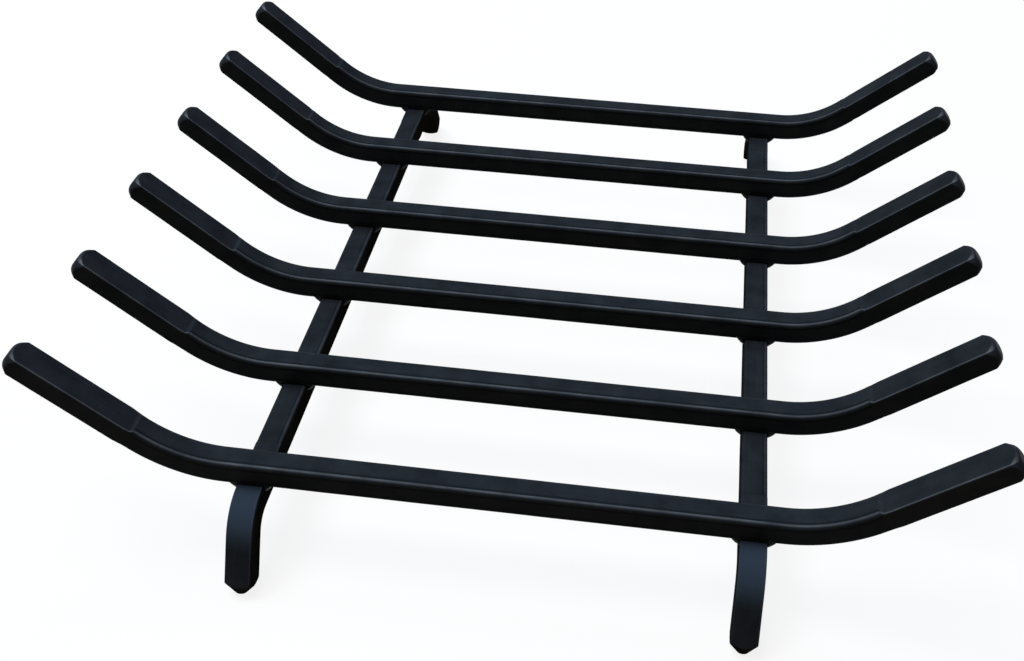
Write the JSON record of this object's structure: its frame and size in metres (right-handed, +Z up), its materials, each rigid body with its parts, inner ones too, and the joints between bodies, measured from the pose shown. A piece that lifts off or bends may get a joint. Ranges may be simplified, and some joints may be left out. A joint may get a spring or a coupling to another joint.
{
  "type": "log grate",
  "caption": "Welded black steel log grate: level square-bar rails with turned-up ends, laid over runners whose ends turn down as splayed legs.",
  "frame": {"origin": "on the floor, midway between the four feet", "axes": "+X along the rails to the right, +Y from the front rail to the rear rail, +Z up"},
  "size_m": [0.5712, 0.553, 0.1385],
  "materials": {
    "rail": "satin black heat-proof coating, slightly blue on its flats, over rolled and pressed bar",
    "runner": "satin black heat-proof coating over rolled bar",
    "weld": "semi-gloss black coating pooled over weld ripples"
  },
  "bodies": {
    "root": {"rail_1": "rail", "rail_2": "rail", "rail_3": "rail", "rail_4": "rail", "rail_5": "rail", "rail_6": "rail", "runner_left": "runner", "runner_right": "runner", "weld_1_left_outer": "weld", "weld_1_left_inner": "weld", "weld_1_right_outer": "weld", "weld_1_right_inner": "weld", "weld_2_left_outer": "weld", "weld_2_left_inner": "weld", "weld_2_right_outer": "weld", "weld_2_right_inner": "weld", "weld_3_left_outer": "weld", "weld_3_left_inner": "weld", "weld_3_right_outer": "weld", "weld_3_right_inner": "weld", "weld_4_left_outer": "weld", "weld_4_left_inner": "weld", "weld_4_right_outer": "weld", "weld_4_right_inner": "weld", "weld_5_left_outer": "weld", "weld_5_left_inner": "weld", "weld_5_right_outer": "weld", "weld_5_right_inner": "weld", "weld_6_left_outer": "weld", "weld_6_left_inner": "weld", "weld_6_right_outer": "weld", "weld_6_right_inner": "weld"}
  },
  "joints": []
}
